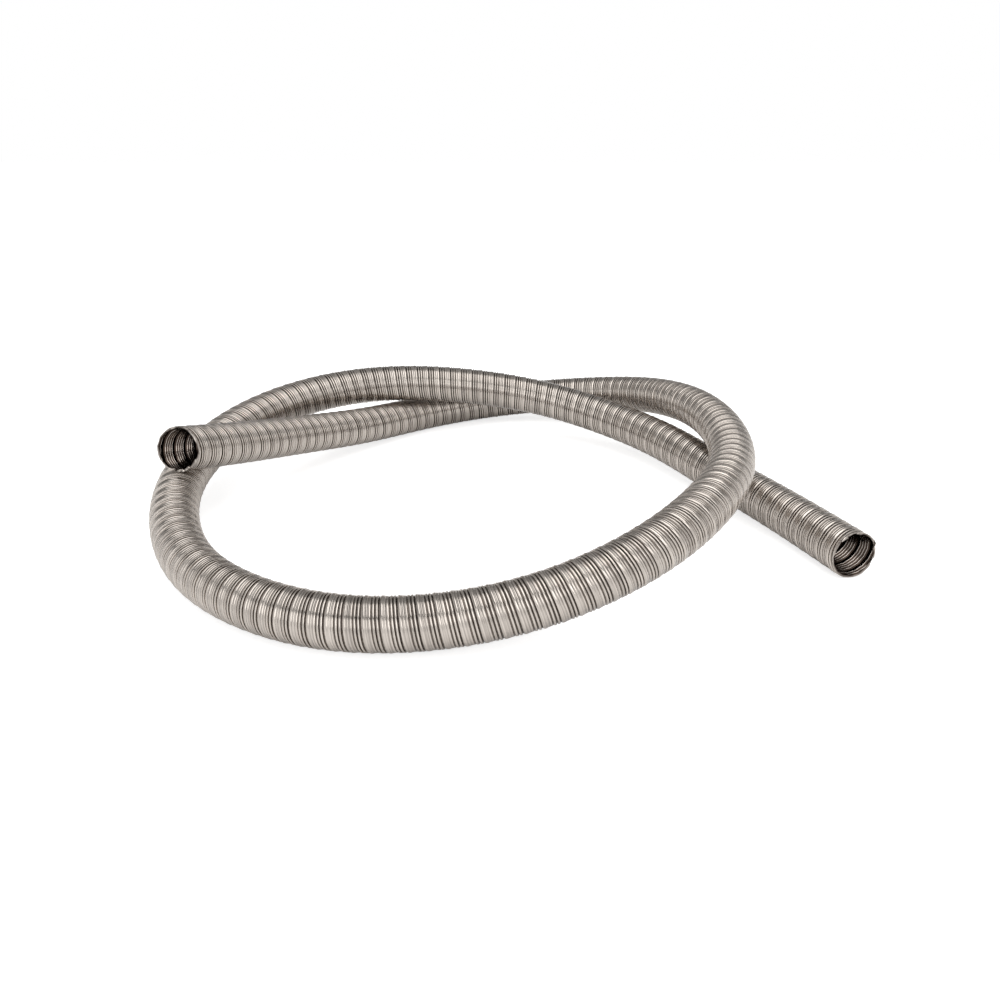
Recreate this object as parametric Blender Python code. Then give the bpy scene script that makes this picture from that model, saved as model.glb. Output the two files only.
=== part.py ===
# Flexible exhaust pipe: one stainless strip wound into a corrugated tube, sawn off at both ends.
# It lies on the floor in a loose loop that crosses itself three times.
# Metres, +Z up. The origin is on the floor, under the middle of the pipe's box.
import bmesh
import bpy
import numpy as np
from math import cos, pi, radians, sin, tan

for old in list(bpy.data.objects):
    bpy.data.objects.remove(old, do_unlink=True)

# The tube's own sizes
BORE_DIAMETER = 0.024
WALL = 0.001
RIDGE_HEIGHT = 0.001
PITCH = 0.009
OUTER_DIAMETER = BORE_DIAMETER + 2 * (WALL + RIDGE_HEIGHT)

# The saw cuts at the two ends: how far each leans from square, and the side of the tube that it
# leaves shorter, as an angle from the tube's left side up over its top
FIRST_CUT_TILT = radians(15)
FIRST_CUT_SIDE = radians(167)
LAST_CUT_TILT = radians(9)
LAST_CUT_SIDE = radians(146)

# Where the pipe lies on itself, this gap stays between the two stretches
REST_GAP = 0.0003

# The middle of the pipe from one end to the other, as x and y in metres, and the lift:
# how far it is raised from the floor, in outer diameters (0 is on it, 1 is over another stretch)
ROUTE = [
    (-0.191, -0.041, 1.39),
    (-0.165, 0.008, 0.89),
    (-0.135, 0.056, 0.46),
    (-0.101, 0.100, 0.13),
    (-0.060, 0.139, 0.01),
    (-0.012, 0.164, 0.03),
    (0.040, 0.168, 0.19),
    (0.088, 0.151, 0.47),
    (0.125, 0.114, 0.83),
    (0.147, 0.063, 1.08),
    (0.154, 0.011, 1.10),
    (0.145, -0.043, 1.15),
    (0.122, -0.095, 1.18),
    (0.083, -0.136, 0.86),
    (0.031, -0.158, 0.33),
    (-0.025, -0.168, 0.04),
    (-0.079, -0.167, 0.01),
    (-0.127, -0.148, 0.05),
    (-0.165, -0.113, 0.09),
    (-0.190, -0.066, 0.23),
    (-0.200, -0.013, 0.42),
    (-0.191, 0.042, 0.64),
    (-0.163, 0.089, 0.84),
    (-0.118, 0.118, 1.00),
    (-0.064, 0.129, 1.03),
    (-0.006, 0.128, 0.88),
    (0.047, 0.121, 0.58),
    (0.092, 0.096, 0.33),
    (0.126, 0.055, 0.22),
    (0.154, 0.005, 0.09),
    (0.180, -0.047, 0.01),
    (0.201, -0.102, 0.01),
]

# How finely the shapes are divided: facets round the tube, rings along the bore, and steps of the
# route between two of its points
FACETS = 12
BORE_RING_SPACING = 0.0175
SPAN_STEPS = 40

# What is wound and bored past each end before it is sawn to length
SPARE_TURNS = 2
SPARE_RINGS = 1
MERGE_DISTANCE = 0.00002


def smooth_route(points, height_of_one_lift):
    """The natural cubic spline through the route's points, as a fine line."""
    points = np.array(points)
    points[:, 2] = OUTER_DIAMETER / 2 + points[:, 2] * height_of_one_lift
    count = len(points)
    spans = np.eye(count)
    pull = np.zeros_like(points)
    for i in range(1, count - 1):
        spans[i, i - 1:i + 2] = (1, 4, 1)
        pull[i] = 6 * (points[i - 1] - 2 * points[i] + points[i + 1])
    bend = np.linalg.solve(spans, pull)
    line = []
    for i in range(count - 1):
        for t in np.arange(SPAN_STEPS) / SPAN_STEPS:
            u = 1 - t
            straight = u * points[i] + t * points[i + 1]
            line.append(straight + ((u**3 - u) * bend[i] + (t**3 - t) * bend[i + 1]) / 6)
    line.append(points[-1])
    return np.array(line)


def distances_along(line):
    """The distance travelled from the line's start to each of its points."""
    return np.concatenate([[0], np.cumsum(np.linalg.norm(np.diff(line, axis=0), axis=1))])


def wind_strip(bm, length):
    """The outer skin: the section of one turn of the strip, wound round the Z axis."""
    turns = round(length / PITCH)
    pitch = length / turns
    ridge = OUTER_DIAMETER / 2
    groove = ridge - RIDGE_HEIGHT
    start = -SPARE_TURNS * pitch
    section = [(groove, 0), (ridge, pitch / 2), (groove, pitch)]
    verts = [bm.verts.new((radius, 0, start + z)) for radius, z in section]
    edges = [bm.edges.new(pair) for pair in zip(verts, verts[1:])]
    wound = turns + 2 * SPARE_TURNS
    bmesh.ops.spin(bm, geom=verts + edges, axis=(0, 0, 1), cent=(0, 0, 0), angle=2 * pi * wound,
                   steps=FACETS * wound, dvec=(0, 0, pitch / FACETS))
    bmesh.ops.remove_doubles(bm, verts=bm.verts, dist=MERGE_DISTANCE)


def line_bore(bm, length):
    """The bore: a plain tube that runs past both ends until the saw cuts trim it."""
    stretches = round(length / BORE_RING_SPACING)
    spacing = length / stretches
    ring = bmesh.ops.create_circle(bm, segments=FACETS, radius=BORE_DIAMETER / 2)["verts"]
    bmesh.ops.translate(bm, verts=ring, vec=(0, 0, -SPARE_RINGS * spacing))
    edges = list({edge for vert in ring for edge in vert.link_edges})
    bmesh.ops.spin(bm, geom=ring + edges, axis=(0, 0, 1), cent=(0, 0, 0), angle=0,
                   steps=stretches + 2 * SPARE_RINGS, dvec=(0, 0, spacing))


def saw_ends(bm, length):
    """Cut the skin and the bore at both ends, and close each end with its flat ring of metal."""
    everything = bm.verts[:] + bm.edges[:] + bm.faces[:]
    first = (-tan(FIRST_CUT_TILT) * cos(FIRST_CUT_SIDE), -tan(FIRST_CUT_TILT) * sin(FIRST_CUT_SIDE), 1)
    bmesh.ops.bisect_plane(bm, geom=everything, plane_co=(0, 0, 0), plane_no=first, clear_inner=True)
    everything = bm.verts[:] + bm.edges[:] + bm.faces[:]
    last = (tan(LAST_CUT_TILT) * cos(LAST_CUT_SIDE), tan(LAST_CUT_TILT) * sin(LAST_CUT_SIDE), 1)
    bmesh.ops.bisect_plane(bm, geom=everything, plane_co=(0, 0, length), plane_no=last, clear_outer=True)
    open_edges = [edge for edge in bm.edges if edge.is_boundary]
    for at_start in (True, False):
        rim = [edge for edge in open_edges if (edge.verts[0].co.z < length / 2) == at_start]
        bmesh.ops.triangle_fill(bm, edges=rim, use_beauty=True)
    bmesh.ops.recalc_face_normals(bm, faces=bm.faces)


def lay_along(mesh, line):
    """Bend the straight tube so that its Z axis follows the route, straight on past both ends."""
    travelled = distances_along(line)
    flat = np.empty(3 * len(mesh.vertices))
    mesh.vertices.foreach_get("co", flat)
    points = flat.reshape(-1, 3)
    along = np.clip(points[:, 2], 0, travelled[-1])
    headings = np.gradient(line, travelled, axis=0)
    middle = np.column_stack([np.interp(along, travelled, line[:, axis]) for axis in range(3)])
    ahead = np.column_stack([np.interp(along, travelled, headings[:, axis]) for axis in range(3)])
    ahead /= np.linalg.norm(ahead, axis=1, keepdims=True)
    leftward = np.cross((0, 0, 1), ahead)
    leftward /= np.linalg.norm(leftward, axis=1, keepdims=True)
    upward = np.cross(ahead, leftward)
    laid = middle + points[:, :1] * leftward + points[:, 1:2] * upward
    laid += (points[:, 2] - along)[:, None] * ahead
    mesh.vertices.foreach_set("co", laid.ravel())


def stainless_steel():
    """Warm grey stainless strip, dulled by handling."""
    material = bpy.data.materials.new("stainless_strip")
    material.use_nodes = True
    shader = material.node_tree.nodes["Principled BSDF"]
    shader.inputs["Base Color"].default_value = (0.50, 0.47, 0.43, 1)
    shader.inputs["Metallic"].default_value = 1
    shader.inputs["Roughness"].default_value = 0.35
    return material


def exhaust_pipe():
    """The whole pipe, one closed body, lying as it comes to rest."""
    line = smooth_route(ROUTE, OUTER_DIAMETER + REST_GAP)
    length = distances_along(line)[-1]
    bm = bmesh.new()
    wind_strip(bm, length)
    line_bore(bm, length)
    saw_ends(bm, length)
    mesh = bpy.data.meshes.new("exhaust_pipe")
    bm.to_mesh(mesh)
    bm.free()
    lay_along(mesh, line)
    mesh.shade_smooth()
    mesh.set_sharp_from_angle(angle=radians(40))
    mesh.materials.append(stainless_steel())
    pipe = bpy.data.objects.new("exhaust_pipe", mesh)
    bpy.context.scene.collection.objects.link(pipe)


exhaust_pipe()
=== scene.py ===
# Flexible exhaust pipe: stainless strip wound into a corrugated tube, lying in a loose loop.
# The model is in metres, +Z up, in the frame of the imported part.
import random
from math import atan2, cos, exp, hypot, pi, radians, sin, tan
import bmesh
import bpy
import numpy as np
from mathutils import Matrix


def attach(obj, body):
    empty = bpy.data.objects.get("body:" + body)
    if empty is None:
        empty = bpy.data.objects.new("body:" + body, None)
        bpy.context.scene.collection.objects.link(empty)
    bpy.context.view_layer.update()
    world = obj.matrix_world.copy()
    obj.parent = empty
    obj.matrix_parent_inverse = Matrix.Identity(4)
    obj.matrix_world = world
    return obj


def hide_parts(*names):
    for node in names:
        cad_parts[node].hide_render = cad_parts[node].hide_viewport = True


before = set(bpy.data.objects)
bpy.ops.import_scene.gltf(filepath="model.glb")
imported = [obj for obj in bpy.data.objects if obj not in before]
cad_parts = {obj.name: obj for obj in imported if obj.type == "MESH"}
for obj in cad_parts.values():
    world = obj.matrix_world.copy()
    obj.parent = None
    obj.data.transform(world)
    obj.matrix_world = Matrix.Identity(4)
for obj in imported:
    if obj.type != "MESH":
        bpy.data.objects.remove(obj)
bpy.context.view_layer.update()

# Camera
# The pipe is seen from in front and above, from about half a metre away, with a wide lens.
# The tilt is in degrees below level.
CAMERA_PLACE = (0.00405, -0.4810, 0.2285)
CAMERA_TILT = 25.457
LENS_MM = 28.02
camera = bpy.data.objects.new("camera", bpy.data.cameras.new("camera"))
camera.data.sensor_width = 36
camera.data.lens = LENS_MM
camera.location = CAMERA_PLACE
camera.rotation_euler = (radians(90 - CAMERA_TILT), 0, 0)
bpy.context.scene.collection.objects.link(camera)
bpy.context.scene.camera = camera

# Exhaust pipe
# One long strip of thin stainless steel, rolled into fine ridges beside a plain band, wound into a
# tube with its folded edges locked together, then sawn to length with a hacksaw.
# It is bent by hand and lies loose, so its two ends are open and its rims are torn.
PITCH = 0.009
OUTER_RADIUS = 0.014
REST_GAP = 0.0003

# The middle of the pipe, as x and y in metres, and the lift from the floor in outer diameters
ROUTE = [
    (-0.191, -0.041, 1.39),
    (-0.165, 0.008, 0.89),
    (-0.135, 0.056, 0.46),
    (-0.101, 0.100, 0.13),
    (-0.060, 0.139, 0.01),
    (-0.012, 0.164, 0.03),
    (0.040, 0.168, 0.19),
    (0.088, 0.151, 0.47),
    (0.125, 0.114, 0.83),
    (0.147, 0.063, 1.08),
    (0.154, 0.011, 1.10),
    (0.145, -0.043, 1.15),
    (0.122, -0.095, 1.18),
    (0.083, -0.136, 0.86),
    (0.031, -0.158, 0.33),
    (-0.025, -0.168, 0.04),
    (-0.079, -0.167, 0.01),
    (-0.127, -0.148, 0.05),
    (-0.165, -0.113, 0.09),
    (-0.190, -0.066, 0.23),
    (-0.200, -0.013, 0.42),
    (-0.191, 0.042, 0.64),
    (-0.163, 0.089, 0.84),
    (-0.118, 0.118, 1.00),
    (-0.064, 0.129, 1.03),
    (-0.006, 0.128, 0.88),
    (0.047, 0.121, 0.58),
    (0.092, 0.096, 0.33),
    (0.126, 0.055, 0.22),
    (0.154, 0.005, 0.09),
    (0.180, -0.047, 0.01),
    (0.201, -0.102, 0.01),
]
SPAN_STEPS = 40


def smooth_route(points):
    """The natural cubic spline through the route's points, as a fine line."""
    points = np.array(points)
    points[:, 2] = OUTER_RADIUS + points[:, 2] * (2 * OUTER_RADIUS + REST_GAP)
    count = len(points)
    spans = np.eye(count)
    pull = np.zeros_like(points)
    for i in range(1, count - 1):
        spans[i, i - 1:i + 2] = (1, 4, 1)
        pull[i] = 6 * (points[i - 1] - 2 * points[i] + points[i + 1])
    bend = np.linalg.solve(spans, pull)
    line = []
    for i in range(count - 1):
        for t in np.arange(SPAN_STEPS) / SPAN_STEPS:
            u = 1 - t
            straight = u * points[i] + t * points[i + 1]
            line.append(straight + ((u**3 - u) * bend[i] + (t**3 - t) * bend[i + 1]) / 6)
    line.append(points[-1])
    return np.array(line)


route = smooth_route(ROUTE)
travelled = np.concatenate([[0], np.cumsum(np.linalg.norm(np.diff(route, axis=0), axis=1))])

# Handling has pulled some stretches longer and pushed others shorter: the pitch in millimetres, at
# distances in metres from the raised end
PULLED = [
    (0.00, 8.4),
    (0.20, 8.9),
    (0.38, 9.6),
    (0.50, 9.2),
    (0.59, 10.3),
    (0.70, 7.5),
    (0.80, 9.3),
    (0.92, 7.8),
    (1.04, 9.6),
    (1.18, 9.6),
    (1.38, 8.6),
    (1.50, 9.7),
    (1.58, 8.7),
    (1.72, 9.0),
]
pulled_at, pulled_pitch = np.array(PULLED).T
local_pitch = np.interp(travelled, pulled_at, pulled_pitch / 1000)
per_metre = (1 / local_pitch[1:] + 1 / local_pitch[:-1]) / 2
turns_by = np.concatenate([[0], np.cumsum(per_metre * np.diff(travelled))])
turns = round(turns_by[-1])
turns_by *= turns / turns_by[-1]
straight_length = turns * PITCH

# The strip's section outside, and the same folds as they show in the bore: along the pipe and out
# from its middle, in millimetres
OUTSIDE = [
    (0.0, 13.85),
    (0.45, 13.6),
    (0.92, 13.1),
    (1.4, 13.85),
    (2.27, 13.85),
    (2.75, 13.1),
    (3.2, 13.85),
    (4.15, 13.8),
    (4.6, 13.3),
    (5.05, 13.6),
    (7.2, 13.75),
    (8.3, 14.0),
    (9.0, 13.85),
]
INSIDE = [
    (0.0, 13.0),
    (0.92, 12.2),
    (1.8, 12.95),
    (2.72, 12.2),
    (3.6, 12.95),
    (4.52, 12.2),
    (5.4, 12.95),
    (6.32, 12.3),
    (7.2, 13.0),
    (9.0, 13.0),
]
OUTSIDE_FACETS = 30
INSIDE_FACETS = 16
SPARE_TURNS = 2
MERGE_DISTANCE = 0.00002

# How the outer folds catch the light, in millimetres: where each groove lies across the strip, how
# far it reaches to each side, and how deep it is; and the share of dark brown painted into it as shade
GROOVES = [
    (0.92, 0.5, 0.7, 0.68),
    (2.75, 0.5, 0.7, 0.68),
    (4.6, 0.5, 0.45, 0.6),
    (6.15, 0.7, 0.25, 0.3),
    (7.6, 0.7, 0.25, 0.2),
]
# Where the ridges in the bore lie across the strip, in millimetres, and where its painted glints run
INNER_RIDGES = [0.92, 2.72, 4.52, 6.32]


def wind(bm, section, facets, in_bore):
    """Wind one turn of the section round the Z axis, and repeat it past both ends of the pipe."""
    skin = bmesh.new()
    bore_share = skin.verts.layers.float.new("in_bore")
    start = -SPARE_TURNS * PITCH
    verts = [skin.verts.new((radius / 1000, 0, start + along / 1000)) for along, radius in section]
    edges = [skin.edges.new(pair) for pair in zip(verts, verts[1:])]
    bmesh.ops.spin(skin, geom=verts + edges, axis=(0, 0, 1), cent=(0, 0, 0), angle=2 * pi,
                   steps=facets, dvec=(0, 0, PITCH / facets))
    wound = 1
    while wound < turns + 2 * SPARE_TURNS:
        copied = bmesh.ops.duplicate(skin, geom=skin.verts[:] + skin.edges[:] + skin.faces[:])["geom"]
        moved = [item for item in copied if isinstance(item, bmesh.types.BMVert)]
        bmesh.ops.translate(skin, verts=moved, vec=(0, 0, wound * PITCH))
        wound *= 2
    bmesh.ops.remove_doubles(skin, verts=skin.verts, dist=MERGE_DISTANCE)
    for vert in skin.verts:
        vert[bore_share] = in_bore
    mesh = bpy.data.meshes.new("skin")
    skin.to_mesh(mesh)
    skin.free()
    bm.from_mesh(mesh)
    bpy.data.meshes.remove(mesh)


# The saw cuts: how far each leans from square, and the side of the tube that it leaves shorter, as
# an angle from the tube's left side up over its top
FIRST_CUT_TILT = radians(15)
FIRST_CUT_SIDE = radians(167)
LAST_CUT_TILT = radians(9)
LAST_CUT_SIDE = radians(146)

# Where the saw tore the rims, as an angle like those of the cuts: its middle, its half width, how far
# the edge stands out along the pipe, and how far it flares outwards; and the length of the short
# teeth all round, which one seeded draw gives to both ends
FIRST_TEARS = [
    (radians(135), radians(22), 0.0016, 0.0005),
    (radians(255), radians(18), 0.0006, 0.0002),
]
LAST_TEARS = [
    (radians(150), radians(35), 0.0010, 0.0003),
    (radians(25), radians(9), 0.0007, 0.0006),
]
TEETH = 0.0007
TEETH_SEED = 7

# Edges in the bore and at the rims that turn more than this stay crisp
CRISP_ANGLE = radians(25)


def tear(rim, bore_share, outward, tears, draw):
    """Pull the rim's edge out of true: teeth all round, and a few longer lips that lose the bore's
    painted shade.
    """
    for vert in sorted(rim, key=lambda v: (round(v.co.x, 6), round(v.co.y, 6))):
        angle = atan2(vert.co.y, vert.co.x)
        stand = draw.random() * TEETH
        flare = 0
        out_of_shade = 0
        for middle, half_width, longer, wider in tears:
            away = (angle - middle + pi) % (2 * pi) - pi
            share = exp(-((away / half_width) ** 2))
            stand += share * longer * (0.5 + draw.random())
            flare += share * wider
            out_of_shade = max(out_of_shade, share)
        radius = hypot(vert.co.x, vert.co.y)
        vert.co.x *= 1 + flare / radius
        vert.co.y *= 1 + flare / radius
        vert.co.z += outward * stand
        # The torn lips lose part of the bore's painted shade
        vert[bore_share] *= 1 - out_of_shade


def saw_ends(bm):
    """Cut both skins at both ends, tear the rims, and close each with its ring of metal."""
    everything = bm.verts[:] + bm.edges[:] + bm.faces[:]
    first = (-tan(FIRST_CUT_TILT) * cos(FIRST_CUT_SIDE), -tan(FIRST_CUT_TILT) * sin(FIRST_CUT_SIDE), 1)
    bmesh.ops.bisect_plane(bm, geom=everything, plane_co=(0, 0, 0), plane_no=first, clear_inner=True)
    everything = bm.verts[:] + bm.edges[:] + bm.faces[:]
    last = (tan(LAST_CUT_TILT) * cos(LAST_CUT_SIDE), tan(LAST_CUT_TILT) * sin(LAST_CUT_SIDE), 1)
    bmesh.ops.bisect_plane(bm, geom=everything, plane_co=(0, 0, straight_length), plane_no=last,
                           clear_outer=True)
    open_edges = [edge for edge in bm.edges if edge.is_boundary]
    bore_share = bm.verts.layers.float["in_bore"]
    draw = random.Random(TEETH_SEED)
    for at_start, outward, tears in ((True, -1, FIRST_TEARS), (False, 1, LAST_TEARS)):
        rim = [edge for edge in open_edges if (edge.verts[0].co.z < straight_length / 2) == at_start]
        bmesh.ops.triangle_fill(bm, edges=rim, use_beauty=True)
        tear({vert for edge in rim for vert in edge.verts}, bore_share, outward, tears, draw)
    bmesh.ops.recalc_face_normals(bm, faces=bm.faces)


def crease(bm):
    """Keep the rims and the folds in the bore crisp, and the outside smooth."""
    bore_share = bm.verts.layers.float["in_bore"]
    for face in bm.faces:
        face.smooth = True
    for edge in bm.edges:
        outside = all(vert[bore_share] == 0 for face in edge.link_faces for vert in face.verts)
        edge.smooth = outside or edge.calc_face_angle(0) < CRISP_ANGLE


def strip_map(mesh):
    """The UV map: the strip before it was wound, in metres along it and across it."""
    places = np.empty(3 * len(mesh.vertices))
    mesh.vertices.foreach_get("co", places)
    places = places.reshape(-1, 3)
    corners = np.empty(len(mesh.loops), dtype=int)
    mesh.loops.foreach_get("vertex_index", corners)
    sizes = np.empty(len(mesh.polygons), dtype=int)
    mesh.polygons.foreach_get("loop_total", sizes)
    face_of = np.repeat(np.arange(len(sizes)), sizes)
    at = places[corners]
    middle = np.column_stack([np.bincount(face_of, at[:, axis]) / sizes for axis in range(3)])
    face_angle = np.arctan2(middle[:, 1], middle[:, 0])
    corner_angle = np.arctan2(at[:, 1], at[:, 0])
    off = (corner_angle - face_angle[face_of] + pi) % (2 * pi) - pi
    turn = np.floor(middle[:, 2] / PITCH - face_angle / (2 * pi))
    wound = turn[face_of] + (face_angle[face_of] + off) / (2 * pi)
    across = at[:, 2] - wound * PITCH
    strip = mesh.uv_layers.new(name="strip")
    strip.data.foreach_set("uv", np.column_stack([wound * 2 * pi * OUTER_RADIUS, across]).ravel())
    straight = mesh.attributes.new("straight", "FLOAT_VECTOR", "POINT")
    straight.data.foreach_set("vector", places.ravel())


def lay_along_route(mesh):
    """Bend the straight tube so that its Z axis follows the route, straight on past both ends."""
    flat = np.empty(3 * len(mesh.vertices))
    mesh.vertices.foreach_get("co", flat)
    points = flat.reshape(-1, 3)
    inside = np.clip(points[:, 2], 0, straight_length)
    along = np.interp(inside / PITCH, turns_by, travelled)
    headings = np.gradient(route, travelled, axis=0)
    middle = np.column_stack([np.interp(along, travelled, route[:, axis]) for axis in range(3)])
    ahead = np.column_stack([np.interp(along, travelled, headings[:, axis]) for axis in range(3)])
    ahead /= np.linalg.norm(ahead, axis=1, keepdims=True)
    leftward = np.cross((0, 0, 1), ahead)
    leftward /= np.linalg.norm(leftward, axis=1, keepdims=True)
    upward = np.cross(ahead, leftward)
    laid = middle + points[:, :1] * leftward + points[:, 1:2] * upward
    laid += (points[:, 2] - inside)[:, None] * ahead
    mesh.vertices.foreach_set("co", laid.ravel())


# The colours: clean steel, and dark brown for the rolling lines and stains, and as painted shade in
# the grooves and the bore
CLEAN_STEEL = (0.59, 0.538, 0.49, 1)
STAIN_AND_SHADE_BROWN = (0.045, 0.032, 0.025, 1)

# In metres: how far from the middle of a groove the painted shade is whole and where it ends, and how
# far the painted glint along the top of a ridge in the bore reaches to each side
GROOVE_SHADE_WHOLE = 0.00008
GROOVE_SHADE_ENDS = 0.00045
GLINT_REACH = 0.00028

# The fine rolling lines run along the strip, and the stains are as wide as they are long
LINES_PER_METRE = (12, 1500, 1)
STAINS_PER_METRE = (55, 55, 55)
SCRATCH_DEPTH = 0.0001

# What the lines and the stains do to the steel, from their lowest places to their highest: the share
# of its colour that is left, and its roughness
LINE_SHADES = (0.68, 1.08)
STAIN_SHADES = (0.9, 1.05)
ROUGHNESS = (0.16, 0.26)


def stainless_strip():
    """Warm grey stainless steel with fine rolling lines along the strip, and brown painted shade in
    its grooves and bore.
    """
    material = bpy.data.materials.new("stainless_strip")
    material.use_nodes = True
    nodes = material.node_tree.nodes
    links = material.node_tree.links
    shader = nodes["Principled BSDF"]
    shader.inputs["Metallic"].default_value = 1

    def calc(operation, *values):
        node = nodes.new("ShaderNodeMath")
        node.operation = operation
        for socket, value in zip(node.inputs, values):
            if isinstance(value, bpy.types.NodeSocket):
                links.new(value, socket)
            else:
                socket.default_value = value
        return node.outputs[0]

    def fade(value, low, high, at_low, at_high):
        node = nodes.new("ShaderNodeMapRange")
        node.interpolation_type = "SMOOTHSTEP"
        links.new(value, node.inputs["Value"])
        node.inputs["From Min"].default_value = low
        node.inputs["From Max"].default_value = high
        node.inputs["To Min"].default_value = at_low
        node.inputs["To Max"].default_value = at_high
        return node.outputs[0]

    def noise(vector, per_metre, detail):
        mapping = nodes.new("ShaderNodeMapping")
        mapping.inputs["Scale"].default_value = per_metre
        links.new(vector, mapping.inputs["Vector"])
        texture = nodes.new("ShaderNodeTexNoise")
        texture.inputs["Scale"].default_value = 1
        texture.inputs["Detail"].default_value = detail
        links.new(mapping.outputs[0], texture.inputs["Vector"])
        return texture.outputs["Fac"]

    strip = nodes.new("ShaderNodeUVMap")
    strip.uv_map = "strip"
    straight = nodes.new("ShaderNodeAttribute")
    straight.attribute_name = "straight"
    skin = nodes.new("ShaderNodeAttribute")
    skin.attribute_name = "in_bore"
    in_bore = skin.outputs["Fac"]
    along_and_across = nodes.new("ShaderNodeSeparateXYZ")
    links.new(strip.outputs[0], along_and_across.inputs[0])

    def away_from(across):
        return calc("ABSOLUTE", calc("SUBTRACT", along_and_across.outputs[1], across / 1000))

    # Each groove is a bump, with dark brown painted into it as shade
    relief = 0
    groove_shade = 0
    for across, reach, deep, share in GROOVES:
        away = away_from(across)
        relief = calc("SUBTRACT", relief, fade(away, 0, reach / 1000, deep / 1000, 0))
        groove_shade = calc("MAXIMUM", groove_shade, fade(away, GROOVE_SHADE_WHOLE, GROOVE_SHADE_ENDS, share, 0))
    # The tops of the ridges in the bore get painted glints of clean steel
    glint = 0
    for across in INNER_RIDGES:
        glint = calc("MAXIMUM", glint, fade(away_from(across), 0, GLINT_REACH, 1, 0))
    lines = noise(strip.outputs[0], LINES_PER_METRE, 3)
    stains = noise(straight.outputs["Vector"], STAINS_PER_METRE, 4)

    # Outside, the colour is the steel with painted shade in the grooves, and the rolling lines and
    # stains on it
    outside = calc("MULTIPLY", calc("SUBTRACT", 1, groove_shade), fade(lines, 0.35, 0.65, *LINE_SHADES))
    outside = calc("MULTIPLY", outside, fade(stains, 0.3, 0.7, *STAIN_SHADES))
    in_open = calc("SUBTRACT", 1, in_bore)
    # In the bore the colour is brown painted shade, broken only by the painted glints
    shade = calc("ADD", calc("MULTIPLY", outside, in_open), calc("MULTIPLY", glint, in_bore))
    colour = nodes.new("ShaderNodeMix")
    colour.data_type = "RGBA"
    colour.inputs["A"].default_value = STAIN_AND_SHADE_BROWN
    colour.inputs["B"].default_value = CLEAN_STEEL
    links.new(shade, colour.inputs["Factor"])
    links.new(colour.outputs["Result"], shader.inputs["Base Color"])
    links.new(fade(lines, 0.3, 0.7, *ROUGHNESS), shader.inputs["Roughness"])
    folds = nodes.new("ShaderNodeBump")
    folds.inputs["Strength"].default_value = 1
    folds.inputs["Distance"].default_value = 1
    links.new(calc("MULTIPLY", relief, in_open), folds.inputs["Height"])
    scratches = nodes.new("ShaderNodeBump")
    scratches.inputs["Strength"].default_value = 0.6
    scratches.inputs["Distance"].default_value = SCRATCH_DEPTH
    links.new(lines, scratches.inputs["Height"])
    links.new(folds.outputs[0], scratches.inputs["Normal"])
    links.new(scratches.outputs[0], shader.inputs["Normal"])
    return material


tube = bmesh.new()
tube.verts.layers.float.new("in_bore")
wind(tube, OUTSIDE, OUTSIDE_FACETS, 0)
wind(tube, INSIDE, INSIDE_FACETS, 1)
saw_ends(tube)
crease(tube)
pipe_mesh = bpy.data.meshes.new("wound_pipe")
tube.to_mesh(pipe_mesh)
tube.free()
strip_map(pipe_mesh)
lay_along_route(pipe_mesh)
pipe_mesh.materials.append(stainless_strip())
pipe = bpy.data.objects.new("wound_pipe", pipe_mesh)
bpy.context.scene.collection.objects.link(pipe)
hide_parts("exhaust_pipe")
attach(pipe, "root")

# Floor
# A sheet of matt white paper under the pipe, which shows only the pipe's faint shadow.
# Its own grey is lit like the pipe, and a glow brings it up to white where it is looked at.
PAPER_GREY = 0.6
PAPER_ROUGHNESS = 0.9
PAPER_GLOW = 0.7
PAPER_WIDTH = 12


def looked_at(nodes, links):
    """1 for rays from the camera and for those that metal or glass sends on, and 0 for the rest."""
    path = nodes.new("ShaderNodeLightPath")
    seen = path.outputs["Is Camera Ray"]
    for ray in ("Is Glossy Ray", "Is Transmission Ray"):
        either = nodes.new("ShaderNodeMath")
        either.operation = "MAXIMUM"
        links.new(seen, either.inputs[0])
        links.new(path.outputs[ray], either.inputs[1])
        seen = either.outputs[0]
    return seen


def matt_paint(name, grey):
    """A plain grey with no shine."""
    material = bpy.data.materials.new(name)
    material.use_nodes = True
    shader = material.node_tree.nodes["Principled BSDF"]
    shader.inputs["Base Color"].default_value = (grey, grey, grey, 1)
    shader.inputs["Specular IOR Level"].default_value = 0
    return material


def white_paper():
    """Matt paper that also glows where it is looked at."""
    material = matt_paint("white_paper", PAPER_GREY)
    nodes = material.node_tree.nodes
    links = material.node_tree.links
    nodes["Principled BSDF"].inputs["Roughness"].default_value = PAPER_ROUGHNESS
    strength = nodes.new("ShaderNodeMath")
    strength.operation = "MULTIPLY"
    strength.inputs[1].default_value = PAPER_GLOW
    links.new(looked_at(nodes, links), strength.inputs[0])
    glow = nodes.new("ShaderNodeEmission")
    glow.inputs["Color"].default_value = (1, 1, 1, 1)
    links.new(strength.outputs[0], glow.inputs["Strength"])
    both = nodes.new("ShaderNodeAddShader")
    links.new(nodes["Principled BSDF"].outputs[0], both.inputs[0])
    links.new(glow.outputs[0], both.inputs[1])
    links.new(both.outputs[0], nodes["Material Output"].inputs["Surface"])
    return material


def flat_sheet(name, width, depth, material):
    """A level sheet with its middle at the origin."""
    shape = bmesh.new()
    bmesh.ops.create_grid(shape, x_segments=1, y_segments=1, size=0.5)
    bmesh.ops.scale(shape, verts=shape.verts, vec=(width, depth, 1))
    mesh = bpy.data.meshes.new(name)
    shape.to_mesh(mesh)
    shape.free()
    mesh.materials.append(material)
    sheet = bpy.data.objects.new(name, mesh)
    bpy.context.scene.collection.objects.link(sheet)
    return sheet


floor = flat_sheet("floor", PAPER_WIDTH, PAPER_WIDTH, white_paper())

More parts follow.
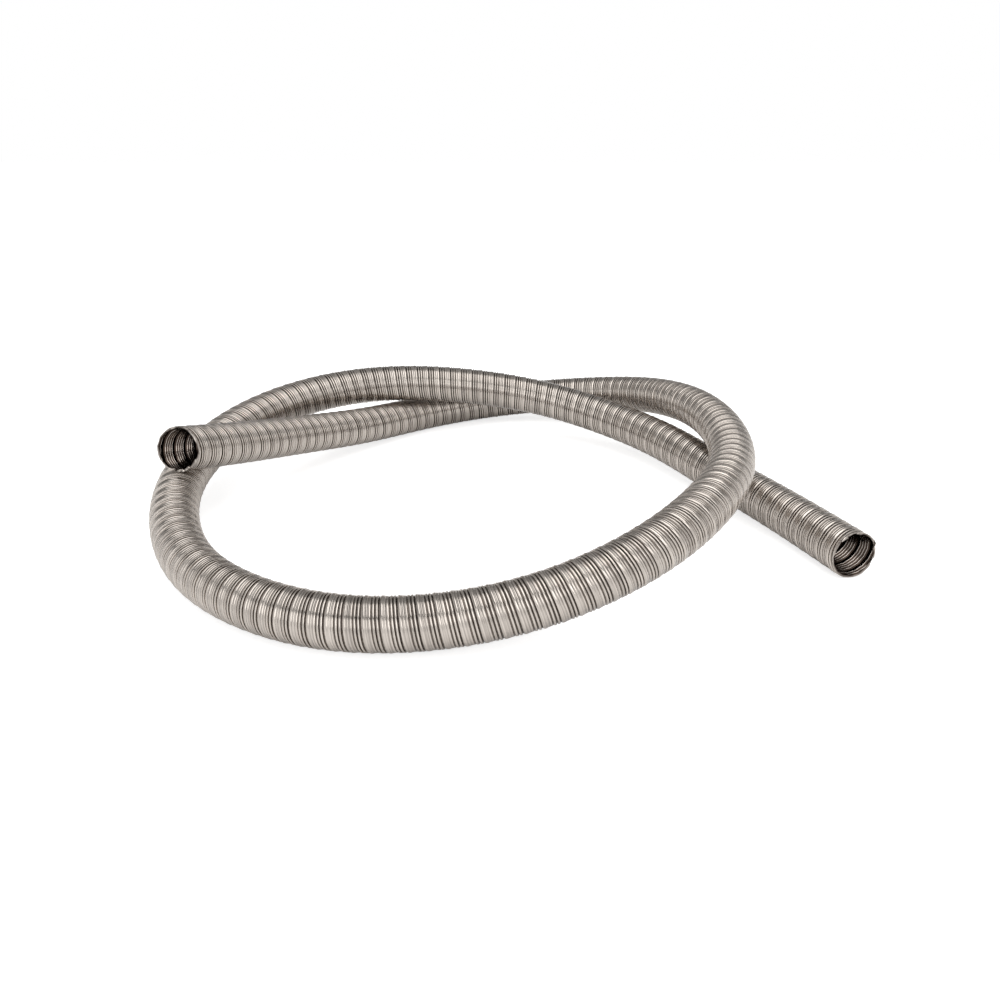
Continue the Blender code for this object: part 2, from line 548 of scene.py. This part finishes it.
# Studio light
# Two softboxes, overhead and in front, in an even room that is light grey for what it lights and
# white where it is looked at.
ROOM_GREY = 0.8
world = bpy.data.worlds.new("studio")
bpy.context.scene.world = world
world.use_nodes = True
room_nodes = world.node_tree.nodes
room_links = world.node_tree.links
room_light = room_nodes["Background"]
room_light.inputs["Color"].default_value = (ROOM_GREY, ROOM_GREY, ROOM_GREY, 1)
backdrop = room_nodes.new("ShaderNodeBackground")
backdrop.inputs["Color"].default_value = (1, 1, 1, 1)
pick = room_nodes.new("ShaderNodeMixShader")
room_links.new(looked_at(room_nodes, room_links), pick.inputs[0])
room_links.new(room_light.outputs[0], pick.inputs[1])
room_links.new(backdrop.outputs[0], pick.inputs[2])
room_links.new(pick.outputs[0], room_nodes["World Output"].inputs["Surface"])


def soft_light(name, place, turn, width, depth, power):
    """A rectangular softbox, in metres and watts."""
    lamp = bpy.data.lights.new(name, "AREA")
    lamp.shape = "RECTANGLE"
    lamp.size = width
    lamp.size_y = depth
    lamp.energy = power
    light = bpy.data.objects.new(name, lamp)
    light.location = place
    light.rotation_euler = turn
    bpy.context.scene.collection.objects.link(light)


soft_light("overhead_softbox", (0.1, -0.055, 1.1), (0, 0, 0), 1.2, 1.2, 8)
soft_light("front_softbox", (0, -1.5, 0.95), (radians(58), 0, 0), 1.6, 1.0, 7)

# Four grey cards, which only the metal sees: a ceiling round the softbox, a back wall, a narrow
# strip low in front, which draws a thin dark line along the nearest stretch, and the floor's own
# grey as the metal reflects it.
def grey_card(name, place, lean, width, depth, grey):
    """A matt card that shows in reflections, but not to the camera, and that casts no shadow."""
    card = flat_sheet(name, width, depth, matt_paint(name, grey))
    card.location = place
    card.rotation_euler = (lean, 0, 0)
    card.visible_camera = False
    card.visible_diffuse = False
    card.visible_shadow = False


grey_card("ceiling_card", (0, 0.55, 1.5), 0, 6, 3.3, 0.7)
grey_card("back_card", (0, 2.2, 0.8), radians(90), 6, 1.5, 0.42)
grey_card("strip_card", (-0.06, -0.346, 0.322), radians(29), 0.32, 0.05, 0.02)
grey_card("floor_card", (0, 0, 0.00004), 0, 8, 8, 0.9)

bpy.context.scene.view_settings.view_transform = "Standard"
